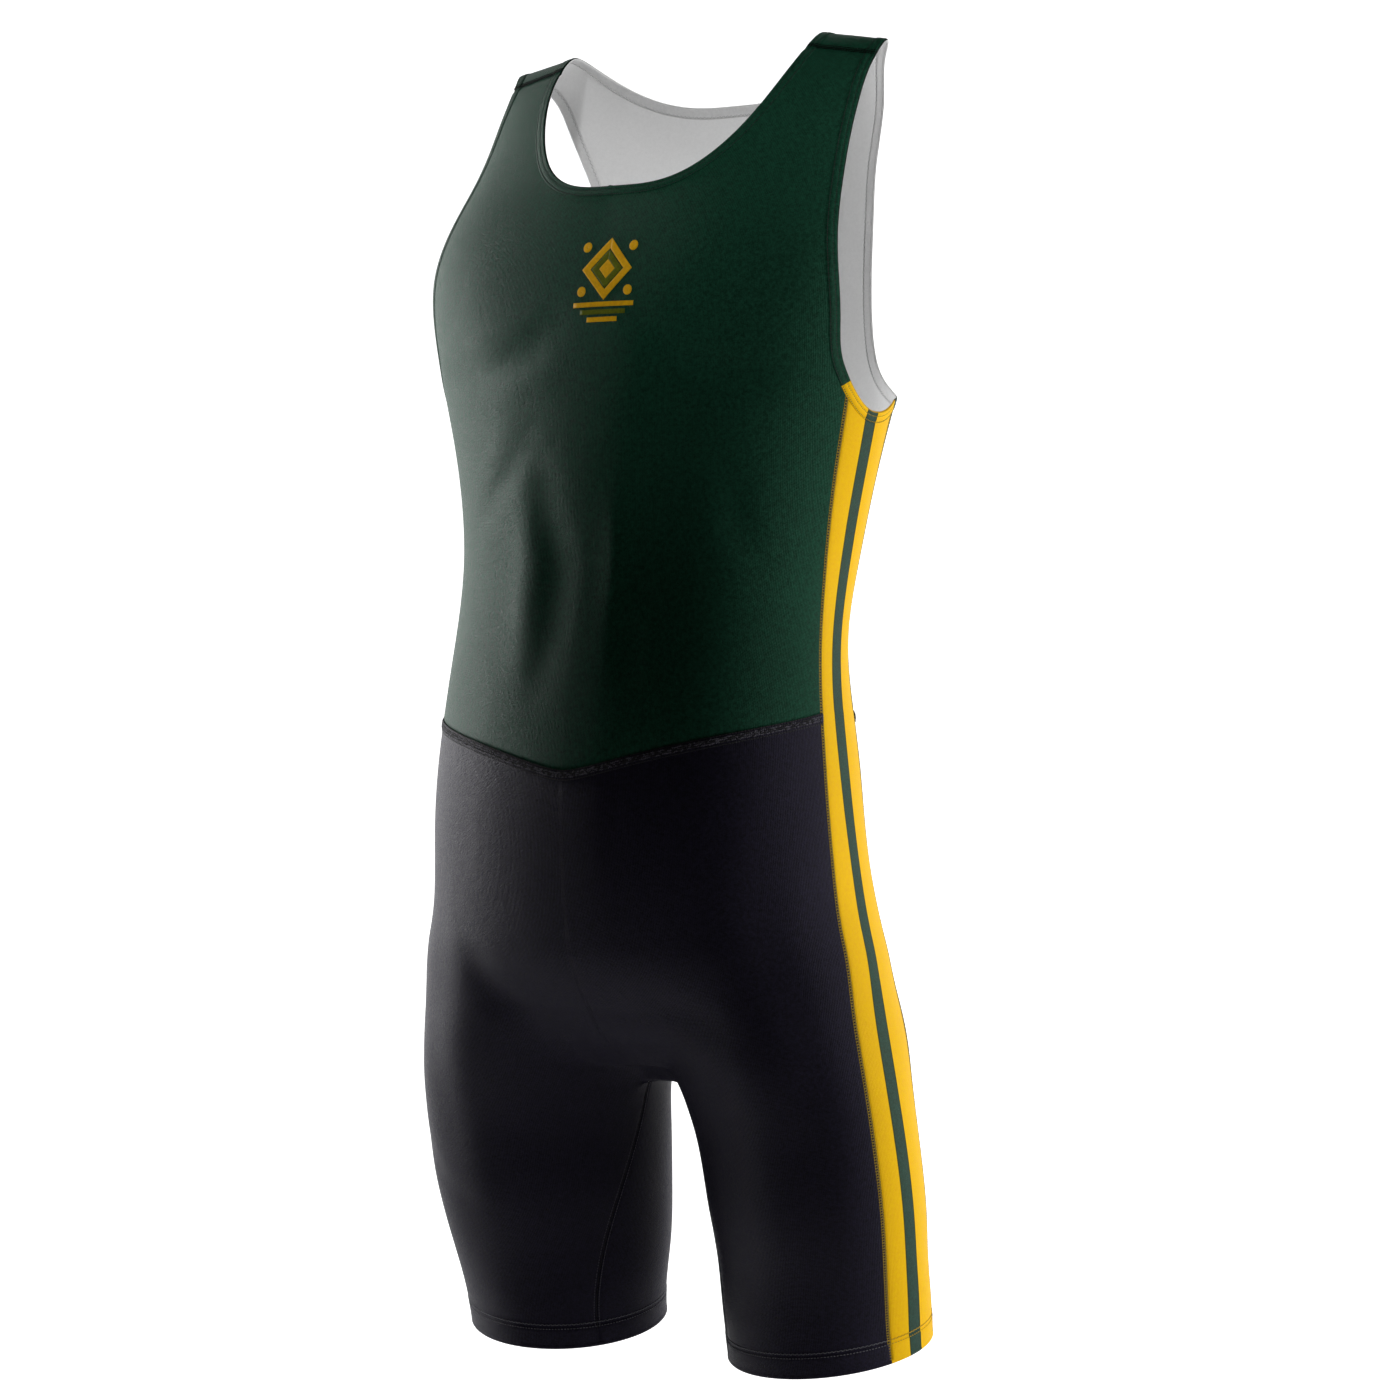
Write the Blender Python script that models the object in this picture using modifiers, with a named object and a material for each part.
"""A rowing unisuit in worn form with no wearer in it: six cut panels of stretch knit.

The frame: +Z is up, the front of the suit faces -Y and the wearer's left is +X. The origin
is where the shoulders carry the straps. Tables and sizes are in centimetres, heights are
given as drops below the shoulders, and the meshes are made in metres.

Each panel is a grid of points on one smooth figure. A row of the grid runs from the middle
of the suit (or the neck edge, or the inseam) to the side (a side seam or an armhole edge).
Only the wearer's left half is worked out; Mirror makes the other, and Solidify the wall.
"""
import bpy
import numpy as np

CM = 0.01

FRONT, BACK = -1, 1      # which way a piece faces, as the sign of its Y

# Cloth and seams
WALL = 0.13              # one layer of the knit, as thick as its pressed seams
HEM_WALL = 0.24          # where an edge is turned in and lies double
SEAM_GAP = 0.03          # between neighbouring pieces
HALF_GAP = SEAM_GAP / 2
GAP_TURNED = 0.8         # by what share the gap is wider where an edge is turned in
GAP_CROTCH = 5.0         # and at the crotch, where the walls lean together
SEAM_STRIP = 0.5         # width of the first column of faces beside a seam
TURNED_EDGE = 0.6        # turned edge at the neck and the armholes
LEG_HEM = 1.6            # turned hem of the legs
HEM_STEP = 0.4           # run-out from the double cloth to the single

# Shoulders, neck and armholes
STRAP_IN = 10.3          # from the middle to the neck edge of a strap
SHOULDER_SLOPE = 0.19    # fall of the shoulder line for each centimetre outwards
SHOULDER_ROUND = 4.0     # rounds the shoulder line off at the middle
SLOPE_LEVEL = 5.5        # level at which the slope has faded out
SHOULDER_SEAM = 1.05     # level of the shoulder seam, in front of the ridge
NECK = {FRONT: (3.37, 3.0), BACK: (2.15, 2.4)}    # lowest level, shape (2 is an ellipse)
ARMHOLE_CORNER = {FRONT: 4.94, BACK: 5.04}       # level where it meets the side panel's seams
ARMHOLE_BOTTOM = 5.13    # and its lowest level, on the stripe of that panel

# Waist seam, crotch and leg hem
WAIST_SIDE = 46.4        # drop of the waist seam at the side panel
WAIST_MIDDLE = {FRONT: 50.2, BACK: 45.4}         # and at the middle of front and back
WAIST_POINT = 0.10       # rounding of that point, as a share of the row
CROTCH_SIDE = 70.0       # drop at the side of the row that passes through the crotch
AXIS_LEAVES = 52.8       # drop at which the sections leave the torso's middle for the leg's
CROTCH_CENTRE = 61.8     # drop of the centre from which the seat is swept under
BLEND = 1.00             # softness of the joint between torso and legs
HEM_DROP = 89.7          # drop of the leg hem at the leg's own axis
HEM_FALL_FRONT = 0.20    # the hem hangs lower in front by this slope
HEM_RISE_SIDE = 0.05     # and higher on the outside
INSEAM_TURN = 35.0       # degrees by which the inseam lies in front of the inner side at the hem

# Level is the square root of the drop, which packs sections where the straps arch over
TORSO_COLUMNS = ("level", "half_width", "front_y", "centre_y", "back_y", "squareness")
TORSO = (
    (0.00, 16.1, 0.0, 0.0, 0.0, 2.3),
    (1.00, 16.1, -2.3, 0.0, 2.6, 2.3),
    (2.00, 16.3, -5.4, -0.4, 4.6, 2.4),
    (3.00, 17.2, -8.8, -1.2, 5.5, 2.5),
    (4.00, 18.5, -12.4, -2.4, 6.0, 2.8),
    (4.50, 18.1, -13.3, -3.0, 6.0, 2.5),
    (5.00, 17.1, -13.9, -3.7, 5.5, 2.2),
    (6.00, 14.8, -14.5, -4.8, 3.9, 2.2),
    (6.50, 14.7, -15.5, -6.3, 2.8, 2.2),
    (7.05, 15.6, -16.5, -6.7, 3.5, 2.2),
    (7.55, 16.0, -16.4, -6.6, 4.4, 2.2),
    (7.85, 16.2, -15.7, -5.8, 5.3, 2.2),
    (8.15, 16.6, -14.5, -4.6, 6.2, 2.2),
)
SEAT_START = 61.8        # drop at which the torso begins to close under the seat
SEAT_END = 70.8

LEG_COLUMNS = ("drop", "centre_x", "centre_y", "long_radius", "short_radius", "twist")
LEGS = (
    (49.0, 7.0, -5.5, 4.0, 4.0, 0.0),
    (57.0, 7.1, -5.3, 6.8, 6.8, -10.0),
    (63.0, 8.0, -5.0, 9.1, 7.8, -20.0),
    (67.0, 9.0, -4.4, 9.3, 8.3, -22.0),
    (71.0, 10.1, -3.9, 8.9, 7.6, -22.0),
    (75.5, 10.7, -2.9, 8.7, 7.0, -24.0),
    (80.0, 10.9, -2.0, 8.4, 7.0, -26.0),
    (84.0, 10.9, -1.2, 7.9, 6.7, -20.0),
    (89.0, 10.9, -0.4, 7.2, 6.7, 0.0),
    (93.0, 10.8, 0.4, 7.0, 6.9, 0.0),
)

# The side panel: the line of its stripe, and its width in front of it and behind it
SIDE_COLUMNS = ("drop", "middle_y", "half_front", "half_back")
SIDE = (
    (22.0, -5.0, 2.35, 3.20),
    (30.0, -4.4, 2.50, 3.30),
    (38.0, -4.9, 2.10, 3.00),
    (46.0, -6.2, 1.95, 3.40),
    (54.0, -5.9, 2.50, 3.80),
    (58.0, -5.4, 2.75, 4.00),
    (63.0, -5.6, 2.60, 4.30),
    (72.0, -5.3, 2.35, 4.20),
    (81.0, -3.2, 2.40, 3.80),
    (93.0, 0.0, 2.20, 3.60),
)

# Armhole edge above the side panel: its distance from the middle on the front and the back
ARMHOLE_COLUMNS = ("level", "front_x", "back_x")
ARMHOLE = (
    (0.0, 15.2, 15.2),
    (SHOULDER_SEAM, 15.0, 14.2),
    (2.0, 14.9, 13.2),
    (3.0, 15.3, 11.8),
    (4.0, 16.5, 10.9),
    (4.5, 16.55, 11.3),
    (4.8, 16.4, 12.6),
)

# Faces of each grid
COLUMNS = 11             # from the middle to the side
PANEL_COLUMNS = 6        # across the side panel
SEAM_ROWS = 12           # armhole to waist along a side seam
BODY_ROWS = {FRONT: 25, BACK: 31}      # shoulder seam to waist, on both edges of a piece
MIDDLE_ROWS = {FRONT: 17, BACK: 21}    # of those, the rows below the neck at the middle
CORNER_ROW = {FRONT: 23.0, BACK: 27.5}           # drop at the middle of the corner's row
CROWDING = {FRONT: 1.2, BACK: 1.6}     # how much rows close up towards the shoulder seam
HIP_ROWS = 12            # waist to crotch
LEG_ROWS = 6             # crotch to the turned hem
EDGE_BLEND = 3           # rows over which columns close up to a turned edge
DENSE = 121              # points on a line before it is cut into columns
HALVINGS = 30            # steps that find where a ray leaves the figure

COLOURS = {
    "top_knit": ((0.012, 0.045, 0.026), 0.62),
    "shorts_knit": ((0.010, 0.010, 0.016), 0.55),
    "side_panel_knit": ((1.0, 0.545, 0.0), 0.60),
}


def spline(knots, values):
    """Natural cubic curve through the points: its bends at the knots solve one small system."""
    gap = np.diff(knots)
    slope = np.diff(values) / gap
    system = np.eye(len(knots))
    jumps = np.zeros(len(knots))
    for i in range(1, len(knots) - 1):
        system[i, i - 1:i + 2] = gap[i - 1], 2 * (gap[i - 1] + gap[i]), gap[i]
        jumps[i] = 6 * (slope[i] - slope[i - 1])
    bend = np.linalg.solve(system, jumps)

    def curve(at):
        at = np.clip(at, knots[0], knots[-1])
        i = np.clip(np.searchsorted(knots, at) - 1, 0, len(knots) - 2)
        before, after, h = at - knots[i], knots[i + 1] - at, gap[i]
        return ((bend[i] * after ** 3 + bend[i + 1] * before ** 3) / (6 * h)
                + (values[i] / h - bend[i] * h / 6) * after
                + (values[i + 1] / h - bend[i + 1] * h / 6) * before)

    return curve


def curves(columns, rows):
    """One smooth curve for each named column of a table, read at its first column."""
    values = np.array(rows).T
    return {name: spline(values[0], column) for name, column in zip(columns[1:], values[1:])}


torso = curves(TORSO_COLUMNS, TORSO)
legs = curves(LEG_COLUMNS, LEGS)
side = curves(SIDE_COLUMNS, SIDE)
PANEL_PLACES = np.linspace(-1, 1, PANEL_COLUMNS + 1)      # front seam, stripe, back seam
armhole = dict(zip(ARMHOLE_COLUMNS, np.array(ARMHOLE).T))


def torso_point(phi, level):
    """Point of the torso at an angle from the side (front is negative) and a level.

    A section is a superellipse with a shallower back than front. A negative level has gone
    over the shoulder ridge, and lies on the other face.
    """
    phi, level = np.broadcast_arrays(phi, level)
    phi = np.where(level < 0, -phi, phi)
    level = np.abs(level)
    power = 2 / torso["squareness"](level)
    x = torso["half_width"](level) * np.abs(np.cos(phi)) ** power
    centre = torso["centre_y"](level)
    face_y = np.where(phi < 0, torso["front_y"](level), torso["back_y"](level))
    y = centre + (face_y - centre) * np.abs(np.sin(phi)) ** power
    return np.stack([x, y, -level ** 2 + shoulder_rise(x, level)], axis=-1)


def shoulder_rise(x, level):
    """Height that the sloping shoulder line adds, fading out down the chest."""
    fade = np.clip(1 - (level / SLOPE_LEVEL) ** 2, 0, 1) ** 2
    line = np.hypot(STRAP_IN, SHOULDER_ROUND) - np.hypot(x, SHOULDER_ROUND)
    return SHOULDER_SLOPE * line * fade


def angle_at_width(x, level):
    """Angle from the side at which a torso section is x from the middle."""
    share = np.clip(x / torso["half_width"](np.abs(level)), 0, 1)
    return np.arccos(share ** (torso["squareness"](np.abs(level)) / 2))


def gauge(across, along, half_across, half_along, power):
    """Superellipse radius of a point as a share of the section, less one, as a length."""
    share = (np.abs(across / half_across) ** power
             + np.abs(along / half_along) ** power) ** (1 / power)
    return (share - 1) * np.sqrt(half_across * half_along)


def torso_gauge(x, y, z):
    """Distance outside the torso, which closes like a bowl under the seat."""
    drop = -z
    level = np.sqrt(np.maximum(drop, 0))
    sunk = np.clip((drop - SEAT_START) / (SEAT_END - SEAT_START), 0, 0.998)
    close = np.sqrt(1 - sunk ** 2)
    centre = torso["centre_y"](level)
    face_y = np.where(y < centre, torso["front_y"](level), torso["back_y"](level))
    return (gauge(x, y - centre, torso["half_width"](level) * close,
                  np.abs(face_y - centre) * close, torso["squareness"](level))
            + np.maximum(drop - SEAT_END, 0))


def leg_gauge(x, y, z):
    """Distance outside the left leg, an elliptical tube with its long axis twisted."""
    drop = -z
    twist = np.radians(legs["twist"](drop))
    dx, dy = x - legs["centre_x"](drop), y - legs["centre_y"](drop)
    across = dx * np.cos(twist) + dy * np.sin(twist)
    along = dy * np.cos(twist) - dx * np.sin(twist)
    return gauge(across, along, legs["long_radius"](drop), legs["short_radius"](drop), 2.0)


def figure(x, y, z):
    """Distance outside the whole figure: torso and both legs in a soft union."""
    parts = [torso_gauge(x, y, z), leg_gauge(x, y, z), leg_gauge(-x, y, z)]
    return -BLEND * np.logaddexp.reduce([-part / BLEND for part in parts])


def cast(start, direction, reach=30.0):
    """Where rays from inside the left half leave the figure, found by halving. What lies
    past the middle plane counts as outside, or a ray could end in the other leg."""
    near = np.zeros(start.shape[:-1])
    far = np.full(start.shape[:-1], reach)
    for _ in range(HALVINGS):
        middle = (near + far) / 2
        point = start + direction * middle[..., None]
        x, y, z = point[..., 0], point[..., 1], point[..., 2]
        inside = (figure(x, y, z) < 0) & (x > -SEAM_GAP)
        near, far = np.where(inside, middle, near), np.where(inside, far, middle)
    return start + direction * near[..., None]


def cast_level(centre, angle, z):
    """Rays that stay level, from a centre (x, y) outwards at the given angles and heights."""
    angle, z = np.broadcast_arrays(angle, z)
    start = np.stack([np.full(z.shape, centre[0]), np.full(z.shape, centre[1]), z], axis=-1)
    direction = np.stack([np.cos(angle), np.sin(angle), np.zeros(z.shape)], axis=-1)
    return cast(start, direction)


def lengths(line):
    """Distance along a line of points."""
    return np.concatenate([[0], np.cumsum(np.linalg.norm(np.diff(line, axis=0), axis=1))])


def along(line, distances):
    """Points of a line at the given distances along it."""
    run = lengths(line)
    return np.stack([np.interp(distances, run, line[:, k]) for k in range(3)], axis=-1)


def spread(total, count, first, last):
    """Distances from 0 to total in count steps, even but for a set first and last step."""
    return np.concatenate([[0], np.linspace(first, total - last, count - 1), [total]])


def vee(share, rounding=WAIST_POINT):
    """Straight rise from 0 to 1 with its foot rounded, so that mirrored rows meet smoothly."""
    return (np.hypot(share, rounding) - rounding) / (np.hypot(1, rounding) - rounding)


def ease(share):
    """Smooth step from 0 to 1."""
    share = np.clip(share, 0, 1)
    return share ** 2 * (3 - 2 * share)


def axis_at(drop):
    """Centre (x, y) from which a level section is swept: the torso's, then the leg's."""
    share = ease((drop - AXIS_LEAVES) / (SEAT_END - AXIS_LEAVES))
    torso_y = torso["centre_y"](np.sqrt(drop))
    return (legs["centre_x"](drop) * share,
            torso_y + (legs["centre_y"](drop) - torso_y) * share)


def side_section(drop):
    """Level line round the side of the suit, front to back, with its angles and its
    distances from the middle line of the side panel."""
    angle = np.radians(np.linspace(-78, 78, 2 * DENSE + 1))
    if drop < WAIST_SIDE:
        line = torso_point(angle, np.sqrt(drop))
    else:
        line = cast_level(axis_at(drop), angle, -drop)
    run = lengths(line)
    return line, angle, run - np.interp(side["middle_y"](drop), line[:, 1], run)


def from_stripe(drop, place):
    """Distance from the stripe of the side panel, at a place of -1 on its front seam to 1 on
    its back seam."""
    return place * side["half_front" if place < 0 else "half_back"](drop)


def seam_angle(drop, facing):
    """Angle of the side panel's front or back seam, about the centre of a level section."""
    _, angle, run = side_section(drop)
    return np.interp(from_stripe(drop, facing), run, angle)


def neck_edge(turn, facing):
    """Neck edge as (angle, level), from the middle at turn 0 to the ridge at a quarter turn:
    a superellipse of the level and the distance from the middle."""
    deepest, shape = NECK[facing]
    level = deepest * np.cos(turn) ** (2 / shape)
    return facing * angle_at_width(STRAP_IN * np.sin(turn) ** (2 / shape), level), level


def neck_path(facing):
    """Neck edge from the middle up to the shoulder seam as (angle, level) lines. The back
    piece goes on over the ridge and down the front, with its level below zero."""
    deepest, shape = NECK[FRONT]
    seam = np.arccos((SHOULDER_SEAM / deepest) ** (shape / 2))
    if facing == FRONT:
        return neck_edge(np.linspace(0, seam, 4 * DENSE), FRONT)
    angle, level = neck_edge(np.linspace(0, np.pi / 2, 4 * DENSE), BACK)
    over_angle, over_level = neck_edge(np.linspace(np.pi / 2, seam, DENSE)[1:], FRONT)
    return np.concatenate([angle, -over_angle]), np.concatenate([level, -over_level])


def armhole_path(facing):
    """Armhole edge from the side seam up to the shoulder seam as (angle, level) lines, with
    the back piece going over the ridge as in neck_path."""
    level = armhole["level"]
    front, back = (angle_at_width(armhole[name], level) for name in ("front_x", "back_x"))
    angle = front
    if facing == BACK:
        level = np.concatenate([-level[2:0:-1], level])
        angle = np.concatenate([front[2:0:-1], back])
    corner = ARMHOLE_CORNER[facing]
    level = np.append(level, corner)
    angle = facing * np.append(angle, np.abs(seam_angle(corner ** 2, facing)))
    run = lengths(torso_point(angle, level))
    at = np.linspace(run[-1], run[1], 4 * DENSE)
    return spline(run, angle)(at), spline(run, level)(at)


def cut(path, count, crowding=1.0, last=None):
    """Cut an (angle, level) path into steps by its length on the torso: even ones, or ones
    that shorten towards its end, or even ones with a set last step."""
    angle, level = path
    run = lengths(torso_point(angle, level))
    at = run[-1] * (1 - np.linspace(1, 0, count + 1) ** crowding)
    if last:
        at = spread(run[-1], count, run[-1] / count, last)
    return np.interp(at, run, angle), np.interp(at, run, level)


def torso_seam(facing):
    """Side seam of the torso from the waist up to the armhole, as (angle, level) lines."""
    level = np.linspace(np.sqrt(WAIST_SIDE), ARMHOLE_CORNER[facing], DENSE)
    return np.array([seam_angle(one ** 2, facing) for one in level]), level


def body_edges(facing):
    """Both ends of every row of a body piece, from the waist up, as (angle, level) lines."""
    rows, middle_rows, crowding = BODY_ROWS[facing], MIDDLE_ROWS[facing], CROWDING[facing]
    stops = np.sqrt([WAIST_MIDDLE[facing], CORNER_ROW[facing], NECK[facing][0] ** 2])
    lower, upper = (
        cut((np.full(DENSE, facing * np.pi / 2), np.linspace(start, stop, DENSE)), count, last=last)
        for start, stop, count, last in ((stops[0], stops[1], SEAM_ROWS, None),
                                         (stops[1], stops[2], middle_rows - SEAM_ROWS, TURNED_EDGE)))
    neck = cut(neck_path(facing), rows - middle_rows, crowding)
    seam = cut(torso_seam(facing), SEAM_ROWS)
    hole = cut(armhole_path(facing), rows - SEAM_ROWS, crowding)
    inner = [np.concatenate([a, b[1:], c[1:]]) for a, b, c in zip(lower, upper, neck)]
    outer = [np.concatenate([a, b[1:]]) for a, b in zip(seam, hole)]
    return inner, outer


def body_piece(facing, waist_row):
    """Grid of a body piece, shoulder seam first, columns from the middle to the side."""
    (inner_angle, inner_level), (outer_angle, outer_level) = body_edges(facing)
    share = np.linspace(0, 1, DENSE)
    rows = [along(waist_row, column_places(waist_row, 0, False))]
    for j in range(1, BODY_ROWS[facing] + 1):
        angle = inner_angle[j] + (outer_angle[j] - inner_angle[j]) * share
        level = inner_level[j] + (outer_level[j] - inner_level[j]) * vee(share)
        line = torso_point(angle, level)
        closing = np.clip(1 - (MIDDLE_ROWS[facing] - j) / EDGE_BLEND, 0, 1)
        rows.append(along(line, column_places(line, closing, j > SEAM_ROWS)))
    return np.array(rows[::-1])


def column_places(line, closing, hemmed):
    """Distances of the columns along a row: even in the middle of the suit, closed up to a
    turned edge where there is one, and to the strip beside a seam."""
    total = lengths(line)[-1]
    first = total / COLUMNS + (TURNED_EDGE - total / COLUMNS) * closing
    return spread(total, COLUMNS, first, TURNED_EDGE if hemmed else SEAM_STRIP)


def middle_line(facing):
    """The figure at X = 0 from the waist down and under the seat to the crotch."""
    centre = np.array([0, legs["centre_y"](SEAT_END), -CROTCH_CENTRE])
    drop = np.linspace(WAIST_MIDDLE[facing], CROTCH_CENTRE, DENSE)
    start = np.stack([0 * drop, np.full(DENSE, centre[1]), -drop], axis=-1)
    upper = cast(start, np.broadcast_to([0.0, facing, 0.0], start.shape))
    swing = np.linspace(0, np.pi / 2, DENSE)[1:, None]
    direction = np.hstack([0 * swing, facing * np.cos(swing), -np.sin(swing)])
    lower = cast(np.broadcast_to(centre, direction.shape), direction)
    return np.concatenate([upper, lower])


def shorts_levels():
    """Drops of the rows at the side and at the inseam, and how far each has tilted into the
    plane of the leg hem."""
    single = HEM_DROP - LEG_HEM - HEM_STEP
    turned = [HEM_DROP - LEG_HEM, HEM_DROP]
    hips = np.linspace(WAIST_SIDE, CROTCH_SIDE, HIP_ROWS + 1)
    leg = np.linspace(CROTCH_SIDE, single, LEG_ROWS + 1)[1:]
    crotch = -middle_line(FRONT)[-1, 2]
    inseam = np.linspace(crotch, single, LEG_ROWS + 1)[1:]
    tilt = ease(np.linspace(0, 1, LEG_ROWS + 1)[1:])
    return (np.concatenate([hips, leg, turned]), np.concatenate([inseam, turned]),
            np.concatenate([tilt, [1, 1]]))


def shorts_row(centre, ends, end_drops, side_drop, tilt, tips):
    """A row right round the left half: its points and its length, and where the seams of the
    side panel lie along it. tips are its two end points where these are known."""
    seams = [seam_angle(side_drop, facing) for facing in (FRONT, BACK)]
    angle = np.linspace(ends[0], ends[1], 4 * DENSE)
    front = vee((angle - ends[0]) / (seams[0] - ends[0]))
    back = vee((ends[1] - angle) / (ends[1] - seams[1]))
    rise = np.clip(np.where(angle < seams[0], front, back), 0, 1)
    rise = np.where((angle >= seams[0]) & (angle <= seams[1]), 1, rise)
    end_drop = np.where(angle < 0, end_drops[0], end_drops[1])
    drop = end_drop + (side_drop - end_drop) * rise
    z = -drop
    hem_x, hem_y = axis_at(HEM_DROP)
    for _ in range(4):
        line = cast_level(centre, angle, z)
        slope = HEM_FALL_FRONT * (line[:, 1] - hem_y) + HEM_RISE_SIDE * (line[:, 0] - hem_x)
        z = -drop + tilt * slope
    if tips:
        line[0], line[-1] = tips
    run = lengths(line)
    outside = np.abs(angle) < np.pi / 2
    middle = np.interp(side["middle_y"](side_drop), line[outside, 1], run[outside])
    return line, run[-1], middle


def shorts_pieces():
    """Grids of the left half of the shorts' front, of the side panel below the waist, and
    of the shorts' back."""
    side_drops, inseam_drops, tilts = shorts_levels()
    paths = {facing: middle_line(facing) for facing in (FRONT, BACK)}
    ends = {}
    for facing, path in paths.items():
        ends[facing] = along(path, np.linspace(0, lengths(path)[-1], HIP_ROWS + 1))
        ends[facing][:, 0] = 0
    grids = {"front": [], "side": [], "back": []}
    for i, side_drop in enumerate(side_drops):
        centre = axis_at(side_drop)
        if i <= HIP_ROWS:
            tips = ends[FRONT][i], ends[BACK][i]
            turns = [np.arctan2(tip[1] - centre[1], tip[0] - centre[0]) for tip in tips]
            turns = [turns[0] - 2 * np.pi * (turns[0] > 0), turns[1] + 2 * np.pi * (turns[1] < 0)]
            drops, tilt = [-tip[2] for tip in tips], 0
            crotch_turn = turns[0]
        else:
            k = i - HIP_ROWS - 1
            tilt = tilts[k]
            inseam = crotch_turn + np.radians(INSEAM_TURN) * tilt
            turns = [inseam, inseam + 2 * np.pi]
            drops, tips = [inseam_drops[k], inseam_drops[k]], None
        row = shorts_row(centre, turns, drops, side_drop, tilt, tips)
        line, total, stripe = row
        cuts = stripe + np.array([from_stripe(side_drop, place) for place in PANEL_PLACES])
        front_cut, back_cut = cuts[[0, -1]]
        first = SEAM_STRIP if i > HIP_ROWS else front_cut / COLUMNS
        grids["front"].append(along(line, spread(front_cut, COLUMNS, first, SEAM_STRIP)))
        grids["side"].append(along(line, cuts))
        rest = total - back_cut
        last = SEAM_STRIP if i > HIP_ROWS else rest / COLUMNS
        grids["back"].append(along(line, back_cut + spread(rest, COLUMNS, SEAM_STRIP, last)))
    return {name: np.array(grid) for name, grid in grids.items()}


def inset(grid, edge, wider=0.0):
    """Draw one edge of a grid back from its neighbour by half the seam's gap, at right
    angles to the edge. wider is a share by which the gap is widened, point by point."""
    rows = {"top": (0, 1), "bottom": (-1, -2)}
    columns = {"left": (0, 1), "right": (-1, -2)}
    if edge in rows:
        at, toward = (grid[k] for k in rows[edge])
    else:
        at, toward = (grid[:, k] for k in columns[edge])
    way = np.gradient(at, axis=0)
    step = toward - at
    step -= way * (np.sum(step * way, axis=-1) / np.sum(way * way, axis=-1))[:, None]
    draw = HALF_GAP * (1 + np.broadcast_to(wider, at.shape[:1]))
    at += step * (draw / np.linalg.norm(step, axis=-1))[:, None]


def cloth_material(name):
    """Matt knit in the colour of its panel."""
    colour, roughness = COLOURS[name]
    material = bpy.data.materials.new(name)
    material.use_nodes = True
    shader = material.node_tree.nodes["Principled BSDF"]
    shader.inputs["Base Color"].default_value = (*colour, 1.0)
    shader.inputs["Roughness"].default_value = roughness
    shader.inputs["Metallic"].default_value = 0.0
    material.diffuse_color = (*colour, 1.0)
    return material


def cloth_object(name, grid, doubled, material, collection, mirrored):
    """One panel as a wall of cloth: the grid's faces, the other half, then the thickness.

    Rows of the grid go down and columns go round from the front by the side to the back, so
    that its faces point outwards. doubled marks the points where the cloth is turned in.
    """
    rows, columns = grid.shape[:2]
    index = np.arange(rows * columns).reshape(rows, columns)
    faces = np.stack([index[:-1, :-1], index[1:, :-1], index[1:, 1:], index[:-1, 1:]], axis=-1)
    mesh = bpy.data.meshes.new(name)
    mesh.from_pydata((grid.reshape(-1, 3) * CM).tolist(), [], faces.reshape(-1, 4).tolist())
    mesh.materials.append(material)
    mesh.shade_smooth()
    cloth = bpy.data.objects.new(name, mesh)
    collection.objects.link(cloth)
    turned = cloth.vertex_groups.new(name="turned_in")
    turned.add(index[doubled].tolist(), 1.0, "REPLACE")
    if mirrored:
        mirror = cloth.modifiers.new("other_half", "MIRROR")
        mirror.use_clip = True
        mirror.merge_threshold = 0.0001
    wall = cloth.modifiers.new("wall", "SOLIDIFY")
    wall.thickness = HEM_WALL * CM
    wall.offset = -1.0
    wall.vertex_group = turned.name
    wall.thickness_vertex_group = WALL / HEM_WALL
    wall.use_quality_normals = True
    return cloth


def body_grid(facing, waist_row):
    """Body piece with its gaps, and the points of its turned neck and armhole edges."""
    grid = body_piece(facing, waist_row)
    doubled = np.zeros(grid.shape[:2], bool)
    neck_rows = BODY_ROWS[facing] - MIDDLE_ROWS[facing] + 1
    armhole_rows = BODY_ROWS[facing] - SEAM_ROWS + 1
    doubled[:neck_rows, :2] = True
    doubled[neck_rows, 0] = True
    doubled[:armhole_rows, -2:] = True
    inset(grid, "top", GAP_TURNED)
    inset(grid, "bottom")
    inset(grid[armhole_rows - 1:], "right", GAP_TURNED * doubled[armhole_rows - 1:, -1])
    if facing == BACK:
        grid, doubled = grid[:, ::-1], doubled[:, ::-1]
    return grid, doubled


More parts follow.
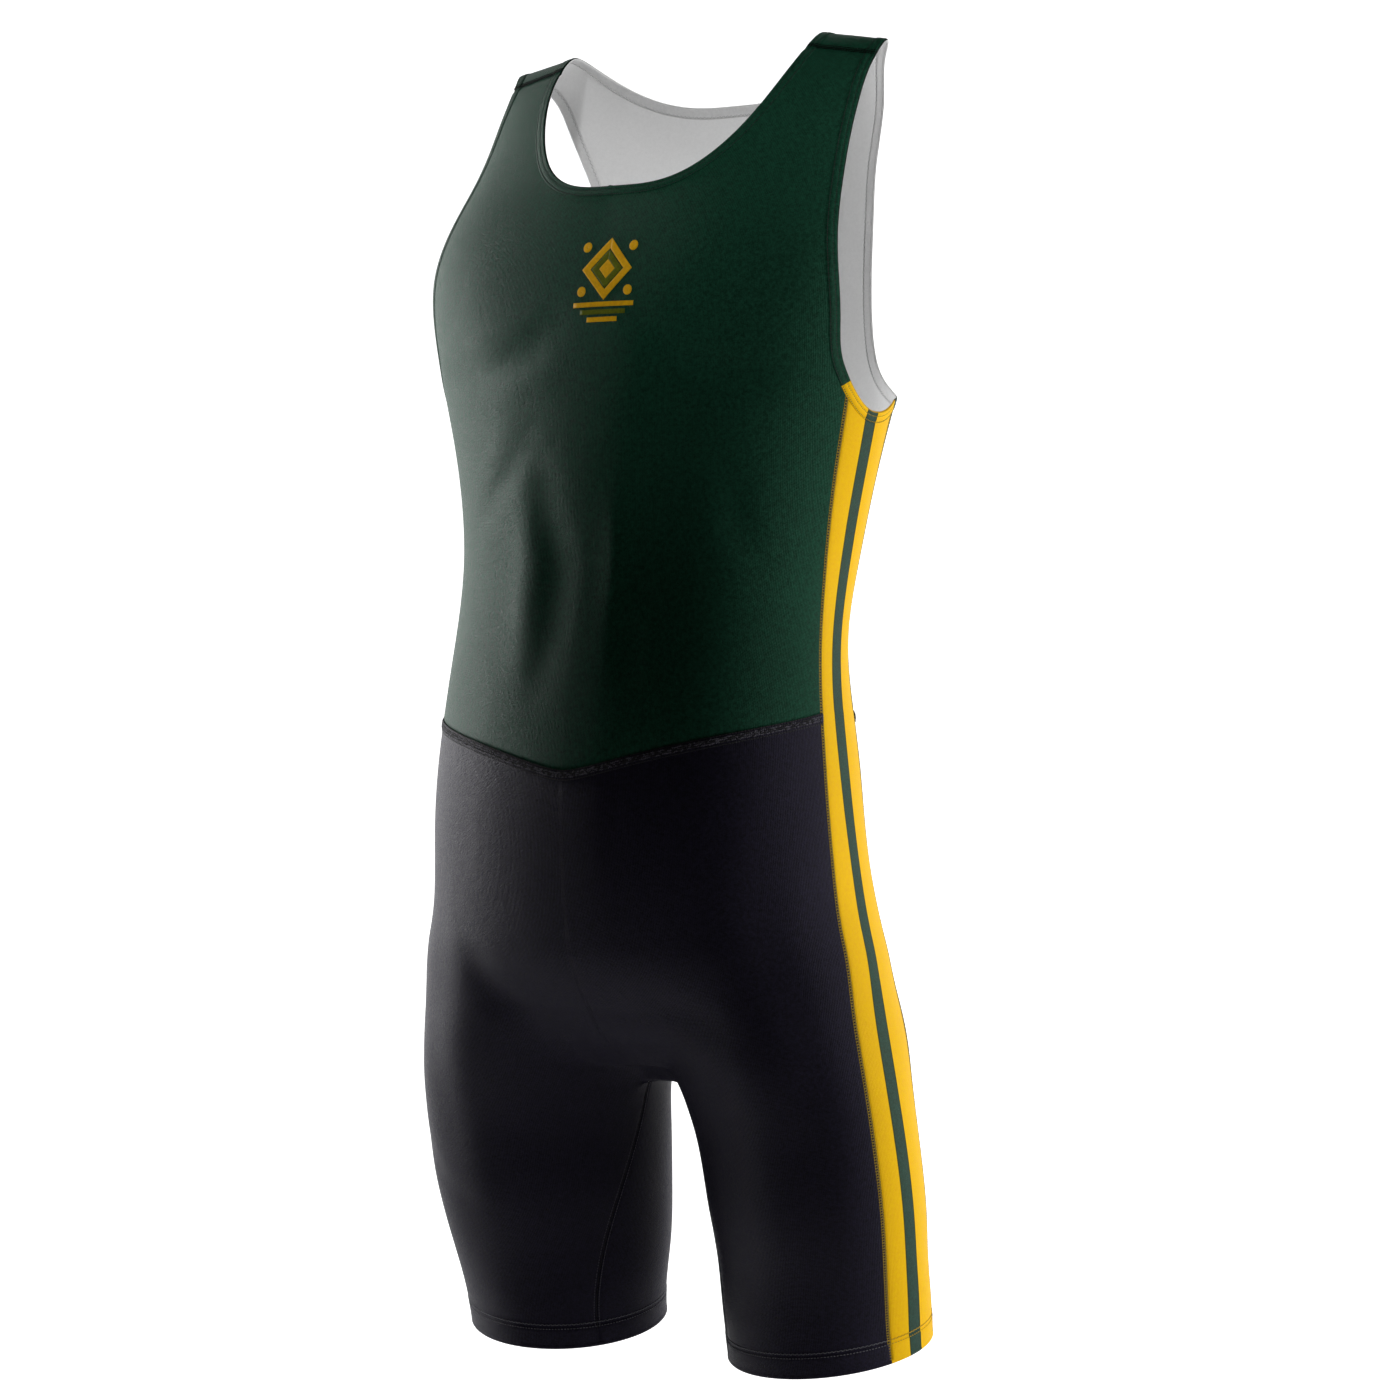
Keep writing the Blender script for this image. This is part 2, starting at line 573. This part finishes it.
def side_panel_top():
    """Side panel from the armhole to the waist. Its rows start and end on those of the body
    pieces, and hang between them at the top, where the edge follows the armhole."""
    place = PANEL_PLACES
    ends = {facing: cut(torso_seam(facing), SEAM_ROWS)[1] for facing in (FRONT, BACK)}
    for facing, level in ends.items():
        step = TURNED_EDGE / (level[-2] ** 2 - level[-1] ** 2)
        turned = level[-1] + (level[-2] - level[-1]) * step
        ends[facing] = np.insert(level, SEAM_ROWS, turned)
    deepest = ARMHOLE_BOTTOM - (ARMHOLE_CORNER[FRONT] + ARMHOLE_CORNER[BACK]) / 2
    height = np.linspace(0, 1, SEAM_ROWS + 1) ** 2
    hang = deepest * np.insert(height, SEAM_ROWS, 1 - (1 - height[-2]) * step)
    rows = []
    for front, back, low in zip(ends[FRONT], ends[BACK], hang):
        levels = (front + back) / 2 + (back - front) / 2 * place + low * (1 - place ** 2)
        row = []
        for share, level in zip(place, levels):
            line, _, distance = side_section(level ** 2)
            at = from_stripe(level ** 2, share)
            row.append([np.interp(at, distance, line[:, k]) for k in range(3)])
        rows.append(row)
    return np.array(rows[::-1])


def build_suit():
    """All six panels in their collection."""
    for old in list(bpy.data.objects):
        bpy.data.objects.remove(old, do_unlink=True)
    collection = bpy.data.collections.new("rowing_unisuit")
    bpy.context.scene.collection.children.link(collection)
    materials = {name: cloth_material(name) for name in COLOURS}
    shorts = shorts_pieces()

    waist_rows = {FRONT: shorts["front"][0].copy(), BACK: shorts["back"][0][::-1].copy()}
    for facing, name in ((FRONT, "front_body"), (BACK, "back_body")):
        grid, doubled = body_grid(facing, waist_rows[facing])
        cloth_object(name, grid, doubled, materials["top_knit"], collection, True)

    for name, seam_edge, inseam_edge in (("front", "right", "left"), ("back", "left", "right")):
        grid = shorts[name]
        doubled = np.zeros(grid.shape[:2], bool)
        doubled[-2:] = True
        inset(grid, "top")
        inset(grid, seam_edge, GAP_TURNED * doubled[:, 0])
        leg = slice(HIP_ROWS + 1, None)
        crotch = np.linspace(1, -1, LEG_ROWS + 2).clip(0) * GAP_CROTCH
        inset(grid[leg], inseam_edge, GAP_TURNED * doubled[leg, 0] + crotch)
        crotch = grid[HIP_ROWS, 0 if name == "front" else -1]
        above = grid[HIP_ROWS - 1, 0 if name == "front" else -1]
        crotch += (above - crotch) * HALF_GAP * (1 + GAP_CROTCH) / np.linalg.norm(above - crotch)
        cloth_object(f"shorts_{name}", grid, doubled, materials["shorts_knit"], collection, True)

    panel = np.concatenate([side_panel_top(), shorts["side"][1:]])
    doubled = np.zeros(panel.shape[:2], bool)
    doubled[:2] = doubled[-2:] = True
    inset(panel, "left", GAP_TURNED * doubled[:, 0])
    inset(panel, "right", GAP_TURNED * doubled[:, 0])
    yellow = materials["side_panel_knit"]
    cloth_object("side_panel_left", panel, doubled, yellow, collection, False)
    other = panel[:, ::-1] * np.array([-1, 1, 1])
    cloth_object("side_panel_right", other, doubled[:, ::-1], yellow, collection, False)


build_suit()
